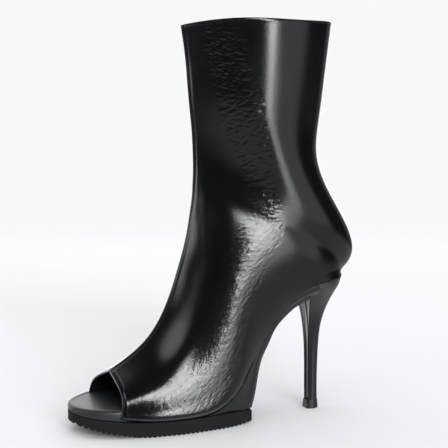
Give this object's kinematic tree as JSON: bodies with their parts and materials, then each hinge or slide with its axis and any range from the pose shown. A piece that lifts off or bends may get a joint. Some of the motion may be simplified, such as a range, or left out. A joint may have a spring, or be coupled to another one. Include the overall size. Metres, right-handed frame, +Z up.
{
  "type": "peep-toe stiletto ankle boot",
  "caption": "Left peep-toe ankle boot in black glossy leather with a stiletto heel, thin rubber forefoot sole and an inner-side zip with sliding slider and hinged puller.",
  "frame": {"origin": "middle of the boot's outline box, on the ground", "axes": "toe towards -X, heel towards +X, outer side towards -Y, inner side with the zip towards +Y, +Z up"},
  "size_m": [0.2274, 0.0831, 0.2993],
  "materials": {
    "upper_leather": "glossy black, polished full-grain",
    "lining_leather": "matt black pigskin",
    "sock_leather": "satin dark grey-black",
    "sole_leather": "glossy black edge-dressed",
    "sole_rubber": "matt microcellular, moulded saw-tooth tread",
    "stiffener_sheet": "thermoplastic stiffener sheet",
    "reinforcing_tape": "woven nylon tape",
    "zip_tape": "woven black polyester",
    "zip_teeth": "moulded black teeth",
    "black_metal": "black lacquered zinc",
    "platform_board": "cork-filled EVA",
    "insole_fibreboard": "cellulose fibreboard",
    "latex_foam": "latex foam",
    "shank_steel": "tempered steel",
    "heel_plastic": "moulded ABS",
    "tip_plastic": "matt black polyurethane"
  },
  "bodies": {
    "boot": {"outer_quarter": "upper_leather", "inner_quarter": "upper_leather", "outer_lining": "lining_leather", "inner_lining": "lining_leather", "topline_facing": "lining_leather", "opening_stay": "stiffener_sheet", "heel_counter": "stiffener_sheet", "front_seam_tape": "reinforcing_tape", "back_seam_tape": "reinforcing_tape", "zip_tape_front": "zip_tape", "zip_tape_back": "zip_tape", "zip_teeth_front": "zip_teeth", "zip_teeth_back": "zip_teeth", "zip_top_stops": "zip_teeth", "zip_bottom_stop": "zip_teeth", "zip_guard": "lining_leather", "outsole": "sole_rubber", "platform": "platform_board", "platform_cover": "sock_leather", "waist_core": "platform_board", "waist_wrap": "upper_leather", "waist_sole": "sole_leather", "insole_board": "insole_fibreboard", "forefoot_cushion": "latex_foam", "shank": "shank_steel", "shank_rivets": "shank_steel", "sock_lining": "sock_leather", "heel_core": "heel_plastic", "heel_cover": "upper_leather", "heel_tube": "shank_steel", "breast_cover": "sole_leather", "heel_tip": "tip_plastic", "heel_tip_pin": "shank_steel", "heel_screw": "shank_steel", "heel_nails": "shank_steel"},
    "slider": {"zip_slider": "black_metal"},
    "puller": {"zip_puller": "black_metal"}
  },
  "joints": [
    {"name": "zip_slide", "type": "slide", "parent": "boot", "child": "slider", "axis": [0.0277, -0.0515, -0.9983], "range_m": [0, 0.106]},
    {"name": "puller_swing", "type": "hinge", "parent": "slider", "child": "puller", "pos_m": [0.03289, 0.04, 0.28754], "axis": [0.9991, 0.0349, 0.026], "range_deg": [0, 170]}
  ]
}
